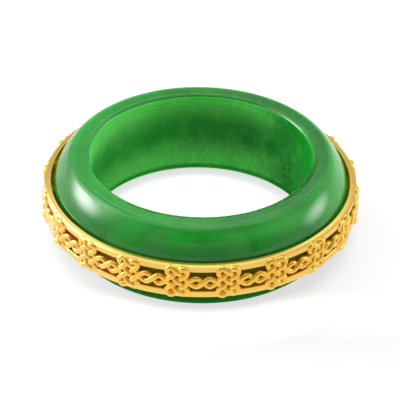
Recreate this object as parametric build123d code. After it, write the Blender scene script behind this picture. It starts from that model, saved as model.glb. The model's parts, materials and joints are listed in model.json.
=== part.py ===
from build123d import *
from build123d.topology import SkipClean
import os
from math import asin, atan2, cos, degrees, pi, radians, sin, tan

# A jade band ring that lies on its flat rim, with a cast gold openwork band round its middle.
# Millimetres. +Z is the ring's axis, and the origin is the centre of the face that it rests on.

# The stone
bore_radius = 8.65  # a 17.3 mm finger hole
stone_wall = 3.0  # from the bore to the widest place of the dome
ring_height = 7.15  # along the finger
bore_edge_round = 0.32  # where the bore turns into the flat rims
rim_width = 0.75  # flat part of each rim, which the ring rests on
shoulder_round = 0.82  # from the flat rim into the domed side

# The gold band
band_clearance = 0.035  # all round between the stone's widest place and the band
band_height = 2.79
rail_depth = 0.52  # radial
rail_height = 0.45
rail_edge_round = 0.06  # along the band's two outer edges
knot_count = 20  # and as many windows between them
strand_diameter = 0.36
strand_sunk = 0.11  # how deep the strands sit in the rails' outer faces
strand_slope = 42.5  # degrees, of the crossing strands in a knot
knot_inset = 0.02  # knot ends stay this far inside the band's edges
floor_contact = 0.05  # how deep a knot's strands sit in the floor behind them
floor_hole_diameter = 0.27
eye_slope = 49.5  # degrees, of the strands that cross between a window's two eyes
eye_place = 0.45  # share of the way from a window's middle to the next knot's loop

# Values that follow from them
stone_radius = bore_radius + stone_wall
half_height = ring_height / 2
band_inner = stone_radius + band_clearance
band_outer = band_inner + rail_depth
half_band = band_height / 2
half_window = half_band - rail_height
strand_radius = strand_diameter / 2
strand_place = band_outer - strand_sunk + strand_radius
floor_outer = strand_place - strand_radius + floor_contact
pitch = 360 / knot_count

# A knot is laid out on a grid of eight holes: two columns of three, and two holes between them.
# Round loops run about the six outer holes, and straight strands join the loops.
row_step = (half_band - knot_inset - strand_radius) / (2 + cos(radians(strand_slope)))
column_step = row_step / tan(radians(strand_slope))
loop_radius = row_step * cos(radians(strand_slope))
floor_half_width = column_step + strand_radius

# A window's scroll reaches from the side loop of one knot to that of the next.
scroll_reach = pi * strand_place / knot_count - column_step - loop_radius
eye_offset = eye_place * scroll_reach
eye_radius = eye_offset * sin(radians(eye_slope))


def upright(x, z):
    """A point of an upright drawing: a section of the ring, or the flat panel of a knot or window."""
    return Vector(x, 0, z)


def round_point(centre, radius, angle):
    """The point of a drawing's circle at an angle in degrees."""
    return upright(centre[0] + radius * cos(radians(angle)), centre[1] + radius * sin(radians(angle)))


def round_stretch(centre, radius, start, end):
    """Part of a drawing's circle, from one angle in degrees to another."""
    return ThreePointArc(*[round_point(centre, radius, angle) for angle in (start, (start + end) / 2, end)])


def strand_through(stops):
    """A round strand through points and arcs, with straight lines between them."""
    ends = [(stop, stop) if isinstance(stop, Vector) else (stop @ 0, stop @ 1) for stop in stops]
    edges = []
    for place, stop in enumerate(stops):
        if place:
            edges.append(Line(ends[place - 1][1], ends[place][0]))
        if not isinstance(stop, Vector):
            edges.append(stop)
    path = Wire(edges)
    return sweep(Plane(path @ 0, z_dir=path % 0) * Circle(strand_radius), path=path)


def jade_band():
    """The stone: straight bore, flat rims and a domed side, which is widest at mid-height."""
    inner_rim = bore_radius + bore_edge_round
    outer_rim = inner_rim + rim_width
    dome_width = stone_radius - outer_rim
    reach = dome_width**2 + half_height**2 - 2 * half_height * shoulder_round
    side_round = reach / (2 * (dome_width - shoulder_round))
    side_centre = (stone_radius - side_round, 0)
    shoulder_centre = (outer_rim, half_height - shoulder_round)
    join = degrees(atan2(shoulder_centre[1] - side_centre[1], shoulder_centre[0] - side_centre[0]))
    edge_centre = (inner_rim, half_height - bore_edge_round)
    upper = [
        Line(upright(bore_radius, 0), round_point(edge_centre, bore_edge_round, 180)),
        round_stretch(edge_centre, bore_edge_round, 180, 90),
        Line(upright(inner_rim, half_height), upright(outer_rim, half_height)),
        round_stretch(shoulder_centre, shoulder_round, 90, join),
        round_stretch(side_centre, side_round, join, 0),
    ]
    half = Wire(upper)
    section = make_face(half.edges() + mirror(half, about=Plane.XY).edges())
    return Pos(0, 0, half_height) * revolve(section, Axis.Z)


def knot_strands():
    """Two mirrored strands, which cross at seven places and meet at the knot's two sides."""
    turn = 90 + strand_slope
    strand = strand_through(
        [
            round_stretch((-column_step, 0), loop_radius, 180, turn),
            round_stretch((column_step, 2 * row_step), loop_radius, turn, turn - 180),
            round_stretch((-column_step, -2 * row_step), loop_radius, turn, turn + 180),
            round_stretch((column_step, 0), loop_radius, turn - 180, 0),
        ]
    )
    return strand + mirror(strand, about=Plane.YZ)


def scroll_strands():
    """Two mirrored strands, which pass round two eyes and cross between them."""
    outward = degrees(asin(eye_radius / (scroll_reach - eye_offset)))
    strand = strand_through(
        [
            upright(-scroll_reach, 0),
            round_stretch((-eye_offset, 0), eye_radius, 90 + outward, 90 - eye_slope),
            round_stretch((eye_offset, 0), eye_radius, 270 - eye_slope, 270 + outward),
            upright(scroll_reach, 0),
        ]
    )
    return strand + mirror(strand, about=Plane.XY)


def on_band(panel):
    """A panel's strands, moved out to the +X side of the band."""
    return Pos(strand_place, 0, 0) * Rot(0, 0, 90) * panel


def channel_sector():
    """One pitch of both rails and of the wall between them, centred on +X."""
    corners = [(band_inner, half_band), (band_outer, half_band), (band_outer, half_window), (floor_outer, half_window)]
    corners += [(x, -z) for x, z in reversed(corners)]
    section = Polygon(*corners, align=None)
    outer_corners = section.vertices().group_by(Axis.X)[-1].sort_by(Axis.Y)
    section = Plane.XZ * fillet([outer_corners[0], outer_corners[-1]], rail_edge_round)
    return Rot(0, 0, -pitch / 2) * revolve(section, Axis.Z, revolution_arc=pitch)


def knot_sector():
    """One repeat: a knot on its floor, the rails beside it, and half a scroll on each side."""
    through = 4 * rail_depth
    window_width = 2 * (pi * strand_place / knot_count - floor_half_width)
    window = Pos(band_outer, 0, 0) * Box(through, window_width, 2 * half_window)
    hole = Pos(band_outer, 0, row_step) * Rot(0, 90, 0) * Cylinder(floor_hole_diameter / 2, through)
    windows = [Rot(0, 0, side * pitch / 2) * window for side in (-1, 1)]
    channel = channel_sector().cut(*windows, hole, mirror(hole, about=Plane.XY))
    scroll = on_band(scroll_strands())
    halves = [
        Rot(0, 0, -pitch / 2) * split(scroll, bisect_by=Plane.XZ, keep=Keep.BOTTOM),
        Rot(0, 0, pitch / 2) * split(scroll, bisect_by=Plane.XZ, keep=Keep.TOP),
    ]
    return channel.fuse(on_band(knot_strands()), *halves)


def openwork_band():
    """The gold band: two rails joined by knots, with a scroll in each window between them."""
    sector = knot_sector()
    sectors = [Rot(0, 0, (number + 0.5) * pitch) * sector for number in range(knot_count)]
    # The faces of neighbouring repeats stay apart in the joined solid, so nothing is merged here.
    with SkipClean():
        band = sectors[0].fuse(*sectors[1:])
    return Pos(0, 0, half_height) * band


os.makedirs("parts", exist_ok=True)
for name, piece in {"jade_band": jade_band(), "openwork_band": openwork_band()}.items():
    piece.label = name
    export_step(piece, f"parts/{name}.step")
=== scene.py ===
import json
from math import asin, atan2, ceil, cos, degrees, dist, pi, radians, sin, tan

import bpy
from mathutils import Matrix, Vector


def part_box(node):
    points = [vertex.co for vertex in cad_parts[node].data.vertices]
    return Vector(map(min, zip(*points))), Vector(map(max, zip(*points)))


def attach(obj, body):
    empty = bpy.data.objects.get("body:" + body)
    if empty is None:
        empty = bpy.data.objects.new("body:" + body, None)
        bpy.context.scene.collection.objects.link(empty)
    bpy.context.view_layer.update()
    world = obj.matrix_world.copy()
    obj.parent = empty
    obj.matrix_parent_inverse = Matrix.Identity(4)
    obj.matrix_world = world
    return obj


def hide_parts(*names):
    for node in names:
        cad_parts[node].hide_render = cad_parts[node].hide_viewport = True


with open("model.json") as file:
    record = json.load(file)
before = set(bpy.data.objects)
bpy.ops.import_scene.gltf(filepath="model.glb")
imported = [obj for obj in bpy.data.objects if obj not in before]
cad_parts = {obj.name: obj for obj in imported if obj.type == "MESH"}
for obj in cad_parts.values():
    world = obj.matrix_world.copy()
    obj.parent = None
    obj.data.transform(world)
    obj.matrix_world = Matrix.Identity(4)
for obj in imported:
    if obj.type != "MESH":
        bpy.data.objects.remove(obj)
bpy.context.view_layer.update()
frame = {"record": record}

bl_info = {
    "name": "Jade Band Ring",
    "version": (1, 0, 0),
    "blender": (4, 5, 0),
    "location": "3D View > Sidebar > Jade Ring",
    "description": "Builds a jade finger ring with a gold openwork band, on a pale studio floor",
    "category": "Object",
}

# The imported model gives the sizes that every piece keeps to, in metres.
STONE_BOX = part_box("jade_band")
BAND_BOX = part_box("openwork_band")
BORE = next(mount for mount in frame["record"]["mounts"] if mount["name"] == "finger_bore")
MM = 0.001
MID_HEIGHT = (STONE_BOX[0].z + STONE_BOX[1].z) / 2

# How finely the shapes are made
STONE_TURNS = 240
RAIL_TURNS = 240
STRAND_SIDES = 12
EDGE_STEP = 0.04 * MM
SHOULDER_STEP = 0.06 * MM
DOME_STEP = 0.09 * MM
BORE_STEP = 0.12 * MM
RAIL_STEP = 0.08 * MM
STRAND_STEP = 0.075 * MM
HOLE_STEP = 0.03 * MM
CLOSE = 1e-7  # points nearer than this are the same point

# Sizes of the gold that nobody would change
KNOT_INSET = 0.02 * MM  # a knot of even strands would end this far inside the band's edges
KNOT_LOW = 0.04 * MM  # the knots sit this far under the band's middle
SCROLL_LOW = 0.06 * MM  # the scrolls sit this far under the band's middle
EYE_PLACE = 0.45  # share of the way from a window's middle to the next knot
INNER_EDGE = 0.04 * MM  # rounding of the rails next to the stone
WINDOW_EDGE = 0.08 * MM  # rounding of the rails along the windows
RAIL_EDGE = 0.025 * MM  # rounding of the rails' free edges
TOP_SLOPE = 3.5  # degrees; the rails' free faces fall outwards by this much
RAIL_OVERLAP = 0.1 * MM  # the floors reach this far into the rails
FLOOR_OUTER = 12.02 * MM  # radius of the floors' outer faces
FLOOR_HOLE = 0.27 * MM  # diameter
HOLE_TURN = 342  # degrees; a hole's line stops short of the full turn, because it closes itself
STRAY_SIZE = 0.45 * MM  # of the unevenness of the cast strands

# Patterns in the stone, the gold and the floor: size in millimetres, detail, roughness, distortion
CLOUDS = (5.5, 3, 0.55, 0.6)
WISPS = (1.6, 4, 0.6, 0.3)
GRAIN = (0.22, 3, 0.65)
STREAKS = (0.3, 2)
FLECKS = (0.3, 2, 0.7)
RINGS = (0.16, 1)
POLISHING_LINES = (0.07, 1)
SWELLS = (1.3, 1)
CAST_GRAIN = (0.06, 3, 0.6)
CAST_PATCHES = (0.9, 3, 0.5)
PAPER = (3, 2)

# Dark clouds in the dome's front: their middles and sizes, in millimetres
DARK_CLOUDS = (
    ((-1.3, -10.4, 6.7), 0.5),
    ((-0.1, -10.7, 6.4), 0.6),
    ((-3.6, -10.2, 6.2), 1.3),
)

# Colours of places in the shade, and of light that the gold gives
SHADED_GREEN = (0.002, 0.05, 0.004, 1)  # the stone's underside, and the bore's foot
LIP_GREEN = (0.001, 0.03, 0.002, 1)  # the front edge of the bore
GOLD_LIT = (0.85, 0.45, 0.03, 1)  # the stone behind the front left windows, which the gold lights
GOLD_GLOW = (1, 0.4, 0, 1)  # light that goes to and fro between the strands

# The studio: the floor, the tent, and lamps with a bright middle that fades to their edges
FLOOR_SIZE = 4.0
TENT_TURN = 4  # degrees; the tent's middle lies this far to the left of the front
# name, azimuth and elevation in degrees, distance, width, height, radiance in the middle
LAMPS = (
    ("left_lamp", -106, 18, 0.5, 0.43, 0.30, 10),
    ("left_screen", -109, 30, 0.5, 0.70, 0.80, 4.0),
    ("right_lamp", 98, 10, 0.5, 0.38, 0.25, 5.4),
)


class RingStone(bpy.types.PropertyGroup):
    """Sizes and colours of the jade."""

    bore_radius: bpy.props.FloatProperty(
        name="Bore radius", description="Inner radius, where the finger goes",
        default=BORE["dims"]["r_mm"] * MM, unit="LENGTH", precision=5,
    )
    stone_radius: bpy.props.FloatProperty(
        name="Stone radius", description="Radius of the dome at mid-height",
        default=STONE_BOX[1].x, unit="LENGTH", precision=5,
    )
    height: bpy.props.FloatProperty(
        name="Height", description="Along the finger",
        default=STONE_BOX[1].z - STONE_BOX[0].z, unit="LENGTH", precision=5,
    )
    edge_round: bpy.props.FloatProperty(
        name="Bore edge", description="Rounding where the bore meets the flat rims",
        default=0.32 * MM, unit="LENGTH", precision=5,
    )
    rim_width: bpy.props.FloatProperty(
        name="Rim width", description="Flat part of each rim",
        default=0.75 * MM, unit="LENGTH", precision=5,
    )
    shoulder_round: bpy.props.FloatProperty(
        name="Shoulder", description="Rounding from the flat rim into the dome",
        default=0.82 * MM, unit="LENGTH", precision=5,
    )
    # Besides the dark clouds, this green is the painted shade on the flat rims, the bore's right side and
    # the dome's far left.
    cloud_and_shade_green: bpy.props.FloatVectorProperty(
        name="Deep green", description="Darkest clouds in the stone",
        default=(0.004, 0.14, 0.009), subtype="COLOR", size=3, min=0, max=1,
    )
    leaf_green: bpy.props.FloatVectorProperty(
        name="Leaf green", description="Most of the stone",
        default=(0.01, 0.3, 0.022), subtype="COLOR", size=3, min=0, max=1,
    )
    milky_green: bpy.props.FloatVectorProperty(
        name="Milky green", description="Pale veils in the stone",
        default=(0.04, 0.48, 0.05), subtype="COLOR", size=3, min=0, max=1,
    )
    glowing_green: bpy.props.FloatVectorProperty(
        name="Glowing green", description="Thin places of the bore that light comes through",
        default=(0.12, 0.6, 0.11), subtype="COLOR", size=3, min=0, max=1,
    )
    # Painted shade, with a painted yellow reflection of the gold, on the stone behind the band.
    band_shade_green: bpy.props.FloatVectorProperty(
        name="Covered green", description="The stone behind the gold band",
        default=(0.3, 0.4, 0.008), subtype="COLOR", size=3, min=0, max=1,
    )


class RingGold(bpy.types.PropertyGroup):
    """Sizes and colours of the gold openwork band."""

    knot_count: bpy.props.IntProperty(
        name="Knots", description="Knots round the band, and as many windows", default=20, min=6,
    )
    rail_depth: bpy.props.FloatProperty(
        name="Rail depth", description="Radial thickness of both rails",
        default=0.52 * MM, unit="LENGTH", precision=5,
    )
    rail_height: bpy.props.FloatProperty(
        name="Rail height", description="Height of each rail",
        default=0.55 * MM, unit="LENGTH", precision=5,
    )
    bevel: bpy.props.FloatProperty(
        name="Bevel", description="Width of the bevel along the upper rail's outer edge",
        default=0.2 * MM, unit="LENGTH", precision=5,
    )
    bevel_slope: bpy.props.FloatProperty(
        name="Bevel slope", description="How steeply the upper rail's bevel falls outwards",
        default=radians(32), subtype="ANGLE",
    )
    clearance: bpy.props.FloatProperty(
        name="Clearance", description="Between the stone's widest place and the band",
        default=0.035 * MM, unit="LENGTH", precision=5,
    )
    strand: bpy.props.FloatProperty(
        name="Strand", description="Diameter of the interlaced strands",
        default=0.48 * MM, unit="LENGTH", precision=5,
    )
    weave: bpy.props.FloatProperty(
        name="Weave", description="How far a strand rises over and sinks under another",
        default=0.08 * MM, unit="LENGTH", precision=5,
    )
    strand_slope: bpy.props.FloatProperty(
        name="Strand slope", description="Slope of a knot's crossing strands",
        default=radians(42.5), subtype="ANGLE",
    )
    eye_slope: bpy.props.FloatProperty(
        name="Eye slope", description="Slope of the strands between a scroll's two eyes",
        default=radians(42), subtype="ANGLE",
    )
    swelling: bpy.props.FloatProperty(
        name="Swelling", description="How much thicker the knots' outer loops are than the strand",
        default=0.12, min=0,
    )
    unevenness: bpy.props.FloatProperty(
        name="Unevenness", description="How far the cast strands stray from their line",
        default=0.012 * MM, unit="LENGTH", precision=6,
    )
    polished: bpy.props.FloatVectorProperty(
        name="Polished gold", description="Colour of the rails",
        default=(0.81, 0.54, 0.125), subtype="COLOR", size=3, min=0, max=1,
    )
    raised: bpy.props.FloatVectorProperty(
        name="Raised gold", description="Colour on the strands' crests",
        default=(0.82, 0.51, 0.085), subtype="COLOR", size=3, min=0, max=1,
    )
    # Painted shade on the strands' sides.
    flank_shade: bpy.props.FloatVectorProperty(
        name="Flank gold", description="Colour on the strands' sides",
        default=(0.8, 0.43, 0.035), subtype="COLOR", size=3, min=0, max=1,
    )
    # Painted shade in the low places between the strands.
    recess_shade: bpy.props.FloatVectorProperty(
        name="Recessed gold", description="Colour in the low places between the strands",
        default=(0.72, 0.34, 0.012), subtype="COLOR", size=3, min=0, max=1,
    )


class RingStage(bpy.types.PropertyGroup):
    """Camera, floor and studio light."""

    azimuth: bpy.props.FloatProperty(
        name="Azimuth", description="Of the camera, from the front",
        default=radians(-1.5), subtype="ANGLE",
    )
    elevation: bpy.props.FloatProperty(
        name="Elevation", description="Of the camera, over the floor",
        default=radians(33.67), subtype="ANGLE",
    )
    roll: bpy.props.FloatProperty(
        name="Roll", description="Of the camera about its own axis", default=0.0175, subtype="ANGLE",
    )
    distance: bpy.props.FloatProperty(
        name="Distance", description="From the camera to the ring's middle",
        default=0.1753, unit="LENGTH",
    )
    lens: bpy.props.FloatProperty(
        name="Lens", description="Focal length in millimetres on a 36 mm sensor", default=200.7,
    )
    aim_below: bpy.props.FloatProperty(
        name="Aim below", description="How far under the ring's middle the camera looks",
        default=0.706 * MM, unit="LENGTH", precision=5,
    )
    tent: bpy.props.FloatProperty(
        name="Tent", description="Brightness of the white tent at its sides", default=0.8, min=0,
    )
    tent_front: bpy.props.FloatProperty(
        name="Tent front", description="Brightness of the tent on the camera's side", default=0.2, min=0,
    )
    tent_back: bpy.props.FloatProperty(
        name="Tent back", description="Brightness of the tent behind the ring", default=0.6, min=0,
    )
    tent_roof: bpy.props.FloatProperty(
        name="Tent roof", description="Brightness of the tent's roof behind the ring", default=1.5, min=0,
    )
    tent_top: bpy.props.FloatProperty(
        name="Tent top", description="Brightness of the tent straight over the ring", default=1.5, min=0,
    )
    tent_over_card: bpy.props.FloatProperty(
        name="Tent over card", description="Brightness of the tent round its opening",
        default=0.45, min=0,
    )
    opening: bpy.props.FloatProperty(
        name="Opening", description="Brightness of the tent's dark opening over the camera",
        default=0.05, min=0,
    )
    card: bpy.props.FloatProperty(
        name="Card", description="Brightness of the grey card under the opening, at its sides",
        default=0.66, min=0,
    )
    card_shade: bpy.props.FloatProperty(
        name="Card shade", description="How much less bright the card's middle is", default=0.2, min=0,
    )
    horizon: bpy.props.FloatProperty(
        name="Horizon", description="Brightness of the tent next to the floor", default=1.0, min=0,
    )
    floor_glow: bpy.props.FloatProperty(
        name="Floor glow", description="Light that comes through the white floor", default=1.0, min=0,
    )


class Field:
    """The output socket of a node, with the arithmetic that adds Math nodes."""

    def __init__(self, tree, socket):
        self.tree = tree
        self.socket = socket

    def math(self, operation, other=None):
        return self.tree.math(operation, self, other)

    def __add__(self, other):
        return self.tree.math("ADD", self, other)

    def __radd__(self, other):
        return self.tree.math("ADD", other, self)

    def __sub__(self, other):
        return self.tree.math("SUBTRACT", self, other)

    def __rsub__(self, other):
        return self.tree.math("SUBTRACT", other, self)

    def __mul__(self, other):
        return self.tree.math("MULTIPLY", self, other)

    def __rmul__(self, other):
        return self.tree.math("MULTIPLY", other, self)

    def __truediv__(self, other):
        return self.tree.math("DIVIDE", self, other)

    def __rtruediv__(self, other):
        return self.tree.math("DIVIDE", other, self)


class Tree:
    """A node tree in the making."""

    def __init__(self, node_tree):
        self.node_tree = node_tree

    def add(self, kind, settings=None, values=None):
        """One node: its settings first, then the values or links of its sockets."""
        node = self.node_tree.nodes.new(kind)
        for name, value in (settings or {}).items():
            setattr(node, name, value)
        self.feed(node, values or {})
        return node

    def feed(self, node, values):
        """Sets or links a node's sockets."""
        for name, value in values.items():
            if isinstance(value, Field):
                self.node_tree.links.new(value.socket, node.inputs[name])
            else:
                node.inputs[name].default_value = value

    def out(self, kind, settings=None, values=None, output=0):
        """One node's output, ready for arithmetic."""
        return Field(self, self.add(kind, settings, values).outputs[output])

    def math(self, operation, first, second=None):
        values = {0: first} if second is None else {0: first, 1: second}
        return self.out("ShaderNodeMath", {"operation": operation}, values)

    def parts(self, vector):
        """A vector's three numbers."""
        node = self.add("ShaderNodeSeparateXYZ", values={0: vector})
        return [Field(self, output) for output in node.outputs]

    def vector(self, x, y, z):
        return self.out("ShaderNodeCombineXYZ", values={0: x, 1: y, 2: z})

    def scaled(self, vector, scale):
        return self.out("ShaderNodeVectorMath", {"operation": "SCALE"}, {0: vector, "Scale": scale})

    def distance(self, first, second):
        values = {0: first, 1: second}
        return self.out("ShaderNodeVectorMath", {"operation": "DISTANCE"}, values, "Value")

    def noise(self, vector, size, detail=2.0, roughness=0.5, distortion=0.0, output=0):
        """Noise from 0 to 1, whose cells are about that size in the vector's unit."""
        values = {"Vector": vector, "Scale": 1 / size, "Detail": detail}
        values |= {"Roughness": roughness, "Distortion": distortion}
        return self.out("ShaderNodeTexNoise", {"noise_dimensions": "3D"}, values, output)

    def step(self, value, start, end):
        """0 at start and before it, 1 at end and past it, with a smooth way between them.

        The end may be lower than the start.
        """
        values = {"Value": value, "From Min": start, "From Max": end}
        return self.out("ShaderNodeMapRange", {"interpolation_type": "SMOOTHSTEP"}, values)

    def mix(self, share, first, second):
        """Two colours mixed by a share, which is kept within 0 and 1."""
        return self.out("ShaderNodeMix", {"data_type": "RGBA"}, {0: share, 6: first, 7: second}, 2)

    def bump(self, height, strength, depth):
        values = {"Strength": strength, "Distance": depth, "Height": height}
        return self.out("ShaderNodeBump", values=values)


def opaque(colour):
    return (*colour, 1)


def grey(brightness):
    return (brightness, brightness, brightness, 1)


def new_material(name):
    """A material with its tree, its shader and the object's own coordinates in millimetres."""
    material = bpy.data.materials.new(name)
    material.use_nodes = True
    tree = Tree(material.node_tree)
    shader = material.node_tree.nodes["Principled BSDF"]
    place = tree.scaled(tree.out("ShaderNodeTexCoord", output="Object"), 1 / MM)
    return material, tree, shader, place


class JadePlaces:
    """Where a point of the stone is: some lengths in millimetres, then shares from 0 to 1.

    The front is along -Y, and the right along X.
    """

    def __init__(self, tree, place, stone):
        self.x, self.y, self.z = x, y, z = tree.parts(place)
        radius = (x * x + y * y).math("SQRT")
        self.wall = radius - stone.bore_radius / MM  # out from the bore's wall
        self.up = z - MID_HEIGHT / MM  # over mid-height
        self.under_top = STONE_BOX[1].z / MM - z
        inwards = stone.stone_radius / MM - radius  # in from the dome's widest place
        aside = self.up.math("ABSOLUTE")

        # Parts of the stone, all round: the foot is the bore's, and the covered part is the gold's
        self.bore = tree.step(self.wall, 0.06, 0.01)
        self.outside = 1 - self.bore
        self.rim = tree.step(self.under_top, 0.7, 0.1) * self.outside
        self.outer = tree.step(inwards, 1.4, 0.1)
        self.under = tree.step(self.up, -1.2, -1.5) * self.outside
        self.foot = self.bore * tree.step(z, 0.75, 0.35)
        self.covered = tree.step(inwards, 0.5, 0.1) * tree.step(aside, 1.25, 0.95)
        self.covered = self.covered * tree.step(self.up, 0.9, 0.6)

        # Sides of the stone
        self.left = tree.step(x, -3.5, -8.5)
        self.right = tree.step(x, -5, 6)
        self.far_right = tree.step(x, 4.5, 7.5)
        self.front = tree.step(y, -5, -9)
        self.behind = tree.step(y, 4, 9) * (1 - self.right)

        # Small places with painted shade or light: the dome's far left, the bore's front edge, and what
        # the gold lights
        self.far_left_shade = tree.step(x, -6.5, -10) * tree.step(y, 11, 6) * tree.step(self.wall, 1.1, 1.65)
        self.lip = tree.step(self.wall, 0.6, 0.3) * self.outside
        self.lip = self.lip * tree.step(y, 1, -4) * tree.step(x, -7.5, -4)
        self.gold_lit = self.covered * tree.step(aside, 0.95, 0.75)
        self.gold_lit = self.gold_lit * tree.step(x, -4, -8) * tree.step(y, -1, -4)


def clouded_green(tree, place, at, stone, wisps, grain):
    """The stone's greens, with clouds and pale veils, painted shade on the flat rims, the bore's right
    side and the dome's far left, and a paler tone set by place.
    """
    deep, leaf, milky = map(opaque, (stone.cloud_and_shade_green, stone.leaf_green, stone.milky_green))
    clouds = tree.noise(place, *CLOUDS)
    dark = tree.step(clouds + wisps * 0.25, 0.55, 0.82)
    # Painted shade on the flat rims next to the bore, more on the right and behind; the dome is also
    # darker towards its widest place.
    inner_rim = at.rim * tree.step(at.wall, 1.45, 1.1) * (0.2 + 0.65 * at.right + 0.3 * at.behind)
    edge = at.outer * (0.45 - 0.15 * at.right)
    colour = tree.mix(dark * 0.4 + inner_rim + edge, leaf, deep)
    # Painted shade: the bore's right side and the dome's far left are darker.
    colour = tree.mix(at.bore * at.right * 0.88 + at.outside * at.far_left_shade * 0.9, colour, deep)

    pale = tree.step(wisps * 0.6 + grain * 0.4, 0.5, 0.75)
    veils = pale * 0.35 * (1 - 0.8 * at.far_left_shade)
    # Paler at the dome's upper front and on the right, set by place; the veils are fainter on the shaded
    # far left.
    upper_front = at.front * tree.step(at.up, 2, 3.1) * tree.step(at.x, -6, -1)
    paler_by_place = 0.6 * upper_front + 0.35 * at.right * (1 - at.front)
    colour = tree.mix(veils + at.outside * (1 - at.rim) * paler_by_place, colour, milky)

    # The dark clouds have soft edges that the wisps make ragged.
    for middle, size in DARK_CLOUDS:
        away = tree.distance(place, middle) + wisps * 0.8
        colour = tree.mix(tree.step(away, size + 0.7, size - 0.1) * 0.3, colour, deep)
    return colour


def light_in_bore(tree, place, at, wisps):
    """How much light comes through to the bore: more towards both rims, and less at the far right.

    It has upright streaks, pale flecks low down and fine dark rings high up.
    """
    off_middle = (at.up - 0.35).math("ABSOLUTE")
    upper_left = tree.step(at.x, -2.5, -6) * tree.step(at.up, -0.5, 2)
    light = tree.step(off_middle, 0.4, 2.8) * (0.74 - 0.16 * at.right - 0.6 * at.far_right)
    light = light + 0.45 * upper_left - 0.18 * at.left - 0.1 * at.far_right + 0.1

    # A coordinate times a small number draws the pattern out along it.
    streaks = tree.noise(tree.vector(at.x, at.y, at.z * 0.12), *STREAKS)
    flecks = tree.step(tree.noise(place, *FLECKS), 0.52, 0.66) * tree.step(at.up, 0, -1.2)
    rings = tree.noise(tree.vector(at.x * 0.02, at.y * 0.02, at.z), *RINGS)
    rings = tree.step(rings, 0.5, 0.62) * tree.step(at.under_top, 1.3, 0.7)
    light = light + (streaks - 0.5) * 0.22 + (wisps - 0.5) * 0.5 + flecks * 0.3 - rings * 0.3
    lower = tree.step(at.up, 0, -1.5)
    return light * (1 - 0.16 * lower) * (1 - 0.7 * at.front)


def polished_jade(stone):
    """Translucent green stone, glossy outside, with faint polishing lines in the duller bore."""
    material, tree, shader, place = new_material("polished_jade")
    at = JadePlaces(tree, place, stone)
    wisps = tree.noise(place, *WISPS)
    grain = tree.noise(place, *GRAIN)
    colour = clouded_green(tree, place, at, stone, wisps, grain)
    glow = at.bore * light_in_bore(tree, place, at, wisps)
    colour = tree.mix(glow, colour, opaque(stone.glowing_green))
    # Painted shade: the stone's underside, the bore's foot and the back of the dome's far left.
    back_left = at.outside * at.far_left_shade * tree.step(at.y, -3, 1)
    colour = tree.mix(at.under * 0.9 + at.foot * 0.8 + back_left * 0.25, colour, SHADED_GREEN)
    # Painted shade on the bore's front edge.
    colour = tree.mix(at.lip * 0.95, colour, LIP_GREEN)
    # Painted shade and painted gold reflection on the stone behind the band.
    colour = tree.mix(at.covered * 0.8, colour, opaque(stone.band_shade_green))
    colour = tree.mix(at.gold_lit * 0.7, colour, GOLD_LIT)

    lines = tree.noise(tree.vector(at.x * 0.04, at.y * 0.04, at.z), *POLISHING_LINES)
    height = tree.noise(place, *SWELLS) * 0.35 + at.bore * (lines * 0.05 + grain * 0.12)
    polish = 1 - 0.92 * at.bore
    dulled = ((at.under, 0.95), (at.covered, 0.9), (at.outer, 0.3), (at.lip, 0.4), (at.rim, 0.12))
    for share, loss in dulled:
        polish = polish * (1 - loss * share)
    tree.feed(shader, {
        "Base Color": colour, "Roughness": 0.4, "Specular IOR Level": 0.0,
        "Normal": tree.bump(height, 0.35, 0.02 * MM),
        "Subsurface Weight": 1.0, "Subsurface Radius": (0.15, 1.0, 0.25), "Subsurface Scale": 3 * MM,
        "Coat Weight": polish, "Coat Roughness": 0.06, "Coat IOR": 1.6,
    })
    return material


def cast_gold(gold):
    """Yellow gold: bright rails, warmer and duller strands, painted deep orange shade on the strands'
    sides and in the low places, a cast grain.

    A clear coat gives the front left its white glints.
    """
    material, tree, shader, place = new_material("cast_gold")
    band = BandLayout(gold)
    x, y, z = tree.parts(place)
    # Millimetres out from the rails' outer faces, and up or down from the windows' edges
    proud = (x * x + y * y).math("SQRT") - band.outer / MM
    past_window = (z - MID_HEIGHT / MM).math("ABSOLUTE") - band.half_window / MM
    between = tree.step(past_window, 0.06, -0.04)
    low = between * tree.step(proud, -0.02, -0.2)
    flank_shade = between * tree.step(proud, 0.16, -0.02)
    standing = tree.step(proud, 0.02, 0.08)
    grain = tree.noise(place, *CAST_GRAIN)
    patches = tree.noise(place, *CAST_PATCHES)
    # Painted shade: deeper orange on the strands' sides and in the low places between them.
    colour = tree.mix(standing, opaque(gold.polished), opaque(gold.raised))
    colour = tree.mix(flank_shade, colour, opaque(gold.flank_shade))
    colour = tree.mix(low, colour, opaque(gold.recess_shade))
    tree.feed(shader, {
        "Base Color": colour, "Metallic": 1,
        "Roughness": 0.14 + 0.18 * standing + 0.25 * low + 0.06 * patches,
        "Normal": tree.bump(grain * 0.4 + patches * 0.6, 0.3, 0.01 * MM),
        "Coat Weight": tree.step(x, -3, -8) * tree.step(y, 2, -3) * 0.7,
        "Coat Roughness": 0.15, "Coat IOR": 1.6,
        "Emission Color": GOLD_GLOW, "Emission Strength": 0.05,
    })
    return material


def arc(centre, radius, start, end, step):
    """Points of a drawing's circle, from one angle in degrees to another."""
    count = max(2, ceil(radians(abs(end - start)) * radius / step))
    angles = [radians(start + (end - start) * number / count) for number in range(count + 1)]
    return [(centre[0] + radius * cos(angle), centre[1] + radius * sin(angle)) for angle in angles]


def joined(stops, step):
    """Points along a drawing's line: lists of points, with straight runs between them."""
    points = list(stops[0])
    for stop in stops[1:]:
        start, end = points[-1], stop[0]
        count = max(1, round(dist(start, end) / step))
        for number in range(1, count):
            points.append(tuple(a + (b - a) * number / count for a, b in zip(start, end)))
        points += stop
    return points


def linked(name, data):
    """A new object of the scene, at the origin."""
    piece = bpy.data.objects.new(name, data)
    bpy.context.scene.collection.objects.link(piece)
    return piece


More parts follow.
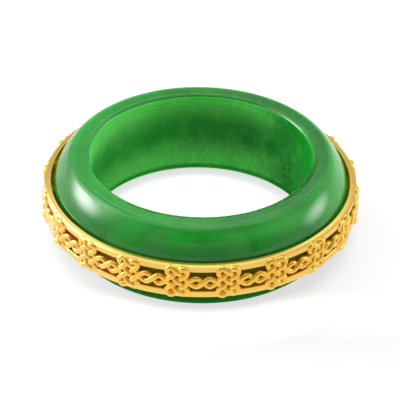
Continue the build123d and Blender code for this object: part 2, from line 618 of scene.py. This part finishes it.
def drawn_lines(name, lines, closed=False, thickness=None):
    """A curve object of straight-sided splines, one for each list of points.

    Thickness gives each point's share of the strand's own.
    """
    data = bpy.data.curves.new(name, "CURVE")
    data.dimensions = "3D"
    for line in lines:
        spline = data.splines.new("POLY")
        spline.points.add(len(line) - 1)
        for point, place, share in zip(spline.points, line, thickness or [1] * len(line)):
            point.co = (*place, 1)
            point.radius = share
        spline.use_cyclic_u = closed
    return linked(name, data)


def new_group(name, inputs):
    """An empty geometry tree with its named inputs, and the fields that read them."""
    group = bpy.data.node_groups.new(name, "GeometryNodeTree")
    inputs = {"Geometry": "NodeSocketGeometry"} | inputs
    for label, kind in inputs.items():
        group.interface.new_socket(label, in_out="INPUT", socket_type=kind)
    group.interface.new_socket("Geometry", in_out="OUTPUT", socket_type="NodeSocketGeometry")
    tree = Tree(group)
    start = tree.add("NodeGroupInput")
    return group, tree, {name: Field(tree, start.outputs[name]) for name in inputs}


def finish_group(tree, shape, material):
    """The tree's last nodes. The faces come in looking inwards, so they are flipped."""
    shape = tree.out("GeometryNodeFlipFaces", values={"Mesh": shape})
    shape = tree.out("GeometryNodeSetShadeSmooth", values={"Geometry": shape})
    shape = tree.out("GeometryNodeRealizeInstances", values={"Geometry": shape})
    shape = tree.out("GeometryNodeSetMaterial", values={"Geometry": shape, "Material": material})
    tree.add("NodeGroupOutput", values={0: shape})


def made_with(group, drawing, settings):
    """The plain mesh that a geometry tree makes of a drawing, under the drawing's name."""
    modifier = drawing.modifiers.new(group.name, "NODES")
    modifier.node_group = group
    for item in group.interface.items_tree:
        if item.in_out == "INPUT" and item.name in settings:
            modifier[item.identifier] = settings[item.name]
    shown = drawing.evaluated_get(bpy.context.evaluated_depsgraph_get())
    mesh = bpy.data.meshes.new_from_object(shown)
    name = drawing.name
    drawing.modifiers.remove(modifier)
    bpy.data.objects.remove(drawing)
    return linked(name, mesh)


def turning_group():
    """A tree that turns a closed outline about the ring's axis. In the outline, X is the radius."""
    inputs = {"Turns": "NodeSocketInt", "Material": "NodeSocketMaterial"}
    group, tree, given = new_group("turned_about_the_axis", inputs)
    outline, turns = given["Geometry"], given["Turns"]
    count = tree.out("GeometryNodeAttributeDomainSize", {"component": "CURVE"}, {0: outline})
    rows = count + 1
    grid = tree.out("GeometryNodeMeshGrid", values={"Vertices X": turns + 1, "Vertices Y": rows})
    index = tree.out("GeometryNodeInputIndex")
    column = ((index + 0.5) / rows).math("FLOOR")
    row = (index - column * rows).math("MODULO", count)
    here = tree.out("GeometryNodeInputPosition")
    values = {"Geometry": outline, "Value": here, "Index": row}
    x, _, z = tree.parts(tree.out("GeometryNodeSampleIndex", {"data_type": "FLOAT_VECTOR"}, values))
    angle = column * (2 * pi) / turns
    turned = tree.vector(x * angle.math("COSINE"), x * angle.math("SINE"), z)
    shape = tree.out("GeometryNodeSetPosition", values={"Geometry": grid, "Position": turned})
    shape = tree.out("GeometryNodeMergeByDistance", values={"Geometry": shape, "Distance": CLOSE})
    finish_group(tree, shape, given["Material"])
    return group


def round_the_band(tree, panel, given):
    """Copies of a flat panel's shape, bent onto the band and evenly round it.

    In the panel, X goes round the band, Y is how far it stands out and Z is up.
    """
    x, y, z = tree.parts(tree.out("GeometryNodeInputPosition"))
    radius = y + given["Place"]
    angle = x / given["Place"]
    bent = tree.vector(radius * angle.math("COSINE"), radius * angle.math("SINE"), z)
    panel = tree.out("GeometryNodeSetPosition", values={"Geometry": panel, "Position": bent})
    points = tree.out("GeometryNodePoints", values={"Count": given["Copies"]})
    turn = tree.out("GeometryNodeInputIndex") * (2 * pi / given["Copies"]) + given["First angle"]
    values = {"Points": points, "Instance": panel, "Rotation": tree.vector(0, 0, turn)}
    copies = tree.out("GeometryNodeInstanceOnPoints", values=values)
    return tree.out("GeometryNodeRealizeInstances", values={"Geometry": copies})


BAND_INPUTS = {
    "Copies": "NodeSocketInt",
    "Place": "NodeSocketFloat",
    "First angle": "NodeSocketFloat",
    "Material": "NodeSocketMaterial",
}


def plate_group():
    """A tree that repeats a flat plate round the band, with the plate's own seams closed."""
    group, tree, given = new_group("plates_round_the_band", BAND_INPUTS)
    plates = round_the_band(tree, given["Geometry"], given)
    plates = tree.out("GeometryNodeMergeByDistance", values={"Geometry": plates, "Distance": CLOSE})
    finish_group(tree, plates, given["Material"])
    return group


def strand_group():
    """A tree that makes round strands of a drawing's lines and repeats them round the band."""
    inputs = {"Radius": "NodeSocketFloat", "Sides": "NodeSocketInt", "Unevenness": "NodeSocketFloat"}
    group, tree, given = new_group("strands_round_the_band", BAND_INPUTS | inputs)
    values = {"Resolution": given["Sides"], "Radius": given["Radius"]}
    circle = tree.out("GeometryNodeCurvePrimitiveCircle", {"mode": "RADIUS"}, values)
    thickness = tree.out("GeometryNodeInputRadius")
    values = {"Curve": given["Geometry"], "Profile Curve": circle, "Scale": thickness, "Fill Caps": True}
    strands = round_the_band(tree, tree.out("GeometryNodeCurveToMesh", values=values), given)
    here = tree.out("GeometryNodeInputPosition")
    stray = tree.noise(here, STRAY_SIZE, 1.0, output="Color")
    values = {0: stray, 1: (0.5, 0.5, 0.5)}
    centred = tree.out("ShaderNodeVectorMath", {"operation": "SUBTRACT"}, values)
    offset = tree.scaled(centred, 2 * given["Unevenness"])
    strands = tree.out("GeometryNodeSetPosition", values={"Geometry": strands, "Offset": offset})
    finish_group(tree, strands, given["Material"])
    return group


def stone_outline(stone):
    """The stone's closed section: the bore, both flat rims, the shoulders and the dome."""
    half = stone.height / 2
    inner_rim = stone.bore_radius + stone.edge_round
    outer_rim = inner_rim + stone.rim_width
    dome_width = stone.stone_radius - outer_rim
    reach = dome_width**2 + half**2 - 2 * half * stone.shoulder_round
    side_round = reach / (2 * (dome_width - stone.shoulder_round))
    shoulder = (outer_rim, half - stone.shoulder_round)
    side = (stone.stone_radius - side_round, 0)
    join = degrees(atan2(shoulder[1], shoulder[0] - side[0]))
    upper = [
        arc((inner_rim, half - stone.edge_round), stone.edge_round, 180, 90, EDGE_STEP),
        arc(shoulder, stone.shoulder_round, 90, join, SHOULDER_STEP),
        arc(side, side_round, join, 0, DOME_STEP)[:-1],
    ]
    lower = [[(x, -z) for x, z in reversed(stop)] for stop in reversed(upper)]
    middle = [[(stone.stone_radius, 0)]]
    line = joined(upper + middle + lower + [upper[0][:1]], BORE_STEP)
    return [(x, 0, MID_HEIGHT + z) for x, z in line[:-1]]


def rail_outline(inner, outer, low, high, bevel, slope):
    """A rail's closed section, as the upper one lies: a top that falls outwards a little, and a bevel."""
    top, lean = 90 - TOP_SLOPE, 90 - degrees(slope)
    ridge = high - RAIL_EDGE - (outer - bevel - inner) * tan(radians(TOP_SLOPE))
    drop = (bevel - RAIL_EDGE) * tan(slope)
    corners = [
        (outer - bevel, ridge, RAIL_EDGE, top, lean),
        (outer - RAIL_EDGE, ridge - drop, RAIL_EDGE, lean, 0),
        (outer - WINDOW_EDGE, low + WINDOW_EDGE, WINDOW_EDGE, 0, -90),
        (inner + INNER_EDGE, low + INNER_EDGE, INNER_EDGE, -90, -180),
        (inner + INNER_EDGE, high - INNER_EDGE, INNER_EDGE, -180, top - 360),
    ]
    stops = [arc((x, z), size, start, end, size / 4) for x, z, size, start, end in corners]
    return joined(stops + [stops[0][:1]], RAIL_STEP)[:-1]


def weaving(x, reach, edge):
    """How far a strand that rises to the right stands over its neighbours, from -1 to 1.

    It is under at the middle column, over at the outer ones, and level at the knot's edge.
    """
    if abs(x) <= reach:
        return -cos(pi * x / reach)
    return 1 - (abs(x) - reach) / (edge - reach)


class BandLayout:
    """Sizes of the band that follow from the settings."""

    def __init__(self, gold):
        self.strand = gold.strand / 2
        self.half_band = (BAND_BOX[1].z - BAND_BOX[0].z) / 2
        self.half_window = self.half_band - gold.rail_height
        self.inner = STONE_BOX[1].x + gold.clearance
        self.outer = self.inner + gold.rail_depth
        self.place = BAND_BOX[1].x - self.strand - gold.weave - gold.unevenness
        self.row = (self.half_band - KNOT_INSET - self.strand) / (2 + cos(gold.strand_slope))
        self.column = self.row / tan(gold.strand_slope)
        self.loop = self.row * cos(gold.strand_slope)
        self.edge = self.column + self.loop
        self.reach = pi * self.place / gold.knot_count - self.edge
        self.eye = EYE_PLACE * self.reach
        self.eye_radius = self.eye * sin(gold.eye_slope)


def jade():
    return bpy.data.materials.get("polished_jade") or polished_jade(bpy.context.scene.ring_stone)


def yellow_gold():
    return bpy.data.materials.get("cast_gold") or cast_gold(bpy.context.scene.ring_gold)


def ride_as_gold(piece):
    """The piece is part of the gold band, and rides on the ring."""
    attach(piece, "root")
    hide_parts("openwork_band")


def strands(drawing, gold, first_angle):
    """Round gold strands along a drawing's lines, repeated round the band."""
    settings = {
        "Copies": gold.knot_count, "Place": BandLayout(gold).place, "First angle": first_angle,
        "Radius": gold.strand / 2, "Sides": STRAND_SIDES, "Unevenness": gold.unevenness,
        "Material": yellow_gold(),
    }
    return made_with(strand_group(), drawing, settings)


class RING_OT_stone(bpy.types.Operator):
    """Turn the jade stone about the ring's axis."""

    bl_idname = "ring.stone"
    bl_label = "Jade Stone"

    def execute(self, context):
        outline = stone_outline(context.scene.ring_stone)
        drawing = drawn_lines("jade_stone", [outline], closed=True)
        piece = made_with(turning_group(), drawing, {"Turns": STONE_TURNS, "Material": jade()})
        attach(piece, "root")
        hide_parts("jade_band")
        return {"FINISHED"}


class RING_OT_rails(bpy.types.Operator):
    """Turn the gold band's upper and lower rail."""

    bl_idname = "ring.rails"
    bl_label = "Gold Rails"

    def execute(self, context):
        gold = context.scene.ring_gold
        band = BandLayout(gold)
        group = turning_group()
        section = (band.inner, band.outer, band.half_window, band.half_band)
        upper = rail_outline(*section, gold.bevel, gold.bevel_slope)
        plain = rail_outline(*section, RAIL_EDGE, radians(TOP_SLOPE))
        lower = [(x, -z) for x, z in reversed(plain)]
        for name, line in {"upper_rail": upper, "lower_rail": lower}.items():
            drawing = drawn_lines(name, [[(x, 0, MID_HEIGHT + z) for x, z in line]], closed=True)
            ride_as_gold(made_with(group, drawing, {"Turns": RAIL_TURNS, "Material": yellow_gold()}))
        return {"FINISHED"}


class RING_OT_floors(bpy.types.Operator):
    """Make the pierced gold plates behind the knots."""

    bl_idname = "ring.floors"
    bl_label = "Knot Floors"

    def execute(self, context):
        gold = context.scene.ring_gold
        band = BandLayout(gold)
        half_width = band.column + band.strand
        half_height = band.half_window + RAIL_OVERLAP
        corners = [(half_width, half_height), (-half_width, half_height)]
        corners += [(-x, -z) for x, z in corners]
        centres = [(0, side * band.row) for side in (-1, 1)]
        holes = [arc(centre, FLOOR_HOLE / 2, 0, HOLE_TURN, HOLE_STEP) for centre in centres]
        lines = [[(x, z, 0) for x, z in line] for line in (corners, *holes)]
        outline = drawn_lines("flat_floor", lines, closed=True)
        outline.data.dimensions = "2D"
        outline.data.fill_mode = "BOTH"
        outline.data.extrude = (FLOOR_OUTER - band.inner) / 2
        shown = outline.evaluated_get(context.evaluated_depsgraph_get())
        flat = bpy.data.meshes.new_from_object(shown)
        bpy.data.objects.remove(outline)
        stand = (FLOOR_OUTER + band.inner) / 2 - band.place
        flat.transform(Matrix.Translation((0, stand, MID_HEIGHT)) @ Matrix.Rotation(radians(90), 4, "X"))
        settings = {
            "Copies": gold.knot_count, "Place": band.place, "First angle": pi / gold.knot_count,
            "Material": yellow_gold(),
        }
        ride_as_gold(made_with(plate_group(), linked("knot_floors", flat), settings))
        return {"FINISHED"}


class RING_OT_knots(bpy.types.Operator):
    """Make the interlaced knots that join the rails."""

    bl_idname = "ring.knots"
    bl_label = "Gold Knots"

    def execute(self, context):
        gold = context.scene.ring_gold
        band = BandLayout(gold)
        turn = 90 + degrees(gold.strand_slope)
        line = joined([
            arc((-band.column, 0), band.loop, 180, turn, STRAND_STEP),
            arc((band.column, 2 * band.row), band.loop, turn, turn - 180, STRAND_STEP),
            arc((-band.column, -2 * band.row), band.loop, turn, turn + 180, STRAND_STEP),
            arc((band.column, 0), band.loop, turn - 180, 0, STRAND_STEP),
        ], STRAND_STEP)
        middle = MID_HEIGHT - KNOT_LOW
        rises = [gold.weave * weaving(x, band.column, band.edge) for x, _ in line]
        lines = [
            [(side * x, side * rise, middle + z) for (x, z), rise in zip(line, rises)]
            for side in (1, -1)
        ]
        swell = [max(0, min(1, (abs(z) - 2 * band.row) / band.loop)) for _, z in line]
        thickness = [1 + gold.swelling * share for share in swell]
        drawing = drawn_lines("gold_knots", lines, thickness=thickness)
        ride_as_gold(strands(drawing, gold, pi / gold.knot_count))
        return {"FINISHED"}


class RING_OT_scrolls(bpy.types.Operator):
    """Make the twisted scrolls in the windows between the knots."""

    bl_idname = "ring.scrolls"
    bl_label = "Gold Scrolls"

    def execute(self, context):
        gold = context.scene.ring_gold
        band = BandLayout(gold)
        outward = degrees(asin(band.eye_radius / (band.reach - band.eye)))
        slope = degrees(gold.eye_slope)
        line = joined([
            [(-band.reach, 0)],
            arc((-band.eye, 0), band.eye_radius, 90 + outward, 90 - slope, STRAND_STEP),
            arc((band.eye, 0), band.eye_radius, 270 - slope, 270 + outward, STRAND_STEP),
            [(band.reach, 0)],
        ], STRAND_STEP)
        middle = MID_HEIGHT - SCROLL_LOW
        rises = [-gold.weave * max(0, cos(pi * x / (2 * band.eye))) for x, _ in line]
        lines = [
            [(x, side * rise, middle + side * z) for (x, z), rise in zip(line, rises)]
            for side in (1, -1)
        ]
        ride_as_gold(strands(drawn_lines("gold_scrolls", lines), gold, 0))
        return {"FINISHED"}


class RING_OT_stage(bpy.types.Operator):
    """Set up the floor, the studio light and the camera."""

    bl_idname = "ring.stage"
    bl_label = "Stage"

    def execute(self, context):
        stage = context.scene.ring_stage
        context.scene.view_settings.view_transform = "Standard"
        pale_floor(stage)
        white_tent(context.scene, stage)
        for row in LAMPS:
            lamp(*row)
        camera(context.scene, stage)
        return {"FINISHED"}


def pale_floor(stage):
    """A wide matt white floor that glows, with painted shade round the ring and painted light in its hole
    and just before its front.
    """
    material, tree, shader, place = new_material("pale_floor")
    x, y, _ = tree.parts(place)
    radius = (x * x + y * y).math("SQRT")
    hole = tree.step(radius, 8.5, 7.3)
    ahead = tree.step(y, -8, -11.5)
    shade = tree.step(radius + ahead * 0.8, 12.8, 11) * (1 - hole) * (1 - 0.45 * ahead)
    before_foot = ahead * tree.step(radius, 10.5, 11.5) * tree.step(radius, 16, 14)
    # Each layer takes its place to its own brightness: dimmer far in front, painted light in the ring's
    # hole and just before its front, painted shade round the ring.
    glow = grey(0.76)
    layers = ((tree.step(y, -12, -15), 0.66), (hole, 0.92), (shade, 0.66), (before_foot, 0.98))
    for share, brightness in layers:
        glow = tree.mix(share, glow, grey(brightness))
    tree.feed(shader, {
        "Base Color": tree.mix(tree.noise(place, *PAPER), grey(0.29), grey(0.31)), "Roughness": 0.9,
        "Specular IOR Level": 0.1, "Emission Color": glow, "Emission Strength": stage.floor_glow,
    })
    mesh = bpy.data.meshes.new("floor")
    half = FLOOR_SIZE / 2
    corners = [(-half, -half, 0), (half, -half, 0), (half, half, 0), (-half, half, 0)]
    mesh.from_pydata(corners, [], [(0, 1, 2, 3)])
    mesh.materials.append(material)
    linked("floor", mesh)


def white_tent(scene, stage):
    """White light from all sides, with a dark opening over the camera and a grey card under it.

    Directions are in degrees: the elevation over the floor, and the turn to the right from the
    tent's middle.
    """
    scene.world = bpy.data.worlds.new("white_tent")
    scene.world.use_nodes = True
    tree = Tree(scene.world.node_tree)
    x, y, z = tree.parts(tree.out("ShaderNodeTexCoord", output="Generated"))
    elevation = z.math("ARCSINE").math("DEGREES")
    turn = x.math("ARCTAN2", 0 - y).math("DEGREES") + TENT_TURN
    aside = turn.math("ABSOLUTE")
    front = tree.step(aside, 42, 39)
    over_card = tree.step(elevation, 29, 32)
    card = stage.card - stage.card_shade * tree.step(aside, 26, 18)
    facing = stage.tent_front * (0.75 + 1.6 * tree.step(turn, -30, -50))
    strength = facing + (stage.tent - facing) * tree.step(aside, 38, 88)
    layers = [
        (stage.tent_back, tree.step(aside, 130, 168)),
        (stage.tent_roof, tree.step(aside, 148, 176) * tree.step(elevation, 32, 38)),
        (stage.tent_over_card, front * over_card),
        (stage.tent_top, tree.step(elevation, 50, 84)),
        (stage.opening, tree.step(aside, 32, 16) * over_card * tree.step(elevation, 56, 46)),
        (card, front * (1 - over_card)),
        (stage.horizon, tree.step(elevation, 5, 2)),
    ]
    for brightness, share in layers:
        strength = strength + (brightness - strength) * share
    background = scene.world.node_tree.nodes["Background"]
    tree.feed(background, {"Color": (1, 1, 1, 1), "Strength": strength})


def towards(azimuth, elevation):
    """The direction from the ring to a place, with the azimuth counted from the front to the right."""
    return Vector((sin(azimuth) * cos(elevation), -cos(azimuth) * cos(elevation), sin(elevation)))


def lamp(name, azimuth, elevation, distance, width, height, radiance):
    """A soft light that faces the ring, brightest in its middle."""
    light = bpy.data.lights.new(name, "AREA")
    light.shape = "RECTANGLE"
    light.size = width
    light.size_y = height
    light.energy = radiance * pi * width * height
    light.use_nodes = True
    tree = Tree(light.node_tree)
    # Across the lamp, both coordinates run from 0 to 1.
    across = tree.out("ShaderNodeNewGeometry", output="Parametric")
    strength = tree.step(tree.distance(across, (0.5, 0.5, 0)), 0.5, 0.0)
    tree.feed(light.node_tree.nodes["Emission"], {"Strength": strength})
    piece = linked(name, light)
    piece.visible_camera = False
    direction = towards(radians(azimuth), radians(elevation))
    piece.location = Vector((0, 0, MID_HEIGHT)) + direction * distance
    piece.rotation_euler = direction.to_track_quat("Z", "Y").to_euler()


def camera(scene, stage):
    """A long lens at the photograph's viewing angle, turned a little about its own axis."""
    view = bpy.data.cameras.new("camera")
    view.lens = stage.lens
    view.clip_start = 0.01
    piece = linked("camera", view)
    middle = Vector((0, 0, MID_HEIGHT))
    place = middle + towards(stage.azimuth, stage.elevation) * stage.distance
    level = Vector((cos(stage.azimuth), sin(stage.azimuth), 0))
    target = middle - (place - middle).normalized().cross(level) * stage.aim_below
    back = (place - target).normalized()
    up = back.cross(level)
    right = level * cos(stage.roll) + up * sin(stage.roll)
    turned = Matrix((right, back.cross(right), back)).transposed().to_4x4()
    piece.matrix_world = Matrix.Translation(place) @ turned
    scene.camera = piece


class RING_PT_sidebar(bpy.types.Panel):
    """The ring's pieces and settings."""

    bl_label = "Jade Ring"
    bl_idname = "RING_PT_sidebar"
    bl_space_type = "VIEW_3D"
    bl_region_type = "UI"
    bl_category = "Jade Ring"

    def draw(self, context):
        for group, kind in SETTINGS.items():
            box = self.layout.box()
            for name in kind.__annotations__:
                box.prop(getattr(context.scene, group), name)
        for operator in OPERATORS:
            self.layout.operator(operator.bl_idname)


OPERATORS = (
    RING_OT_stone, RING_OT_rails, RING_OT_floors, RING_OT_knots, RING_OT_scrolls, RING_OT_stage,
)
SETTINGS = {"ring_stone": RingStone, "ring_gold": RingGold, "ring_stage": RingStage}
CLASSES = (*SETTINGS.values(), *OPERATORS, RING_PT_sidebar)


def register():
    for kind in CLASSES:
        bpy.utils.register_class(kind)
    for name, kind in SETTINGS.items():
        setattr(bpy.types.Scene, name, bpy.props.PointerProperty(type=kind))


def unregister():
    for name in SETTINGS:
        delattr(bpy.types.Scene, name)
    for kind in reversed(CLASSES):
        bpy.utils.unregister_class(kind)


def main():
    register()
    bpy.ops.ring.stone()
    bpy.ops.ring.rails()
    bpy.ops.ring.floors()
    bpy.ops.ring.knots()
    bpy.ops.ring.scrolls()
    bpy.ops.ring.stage()


if __name__ == "__main__":
    main()
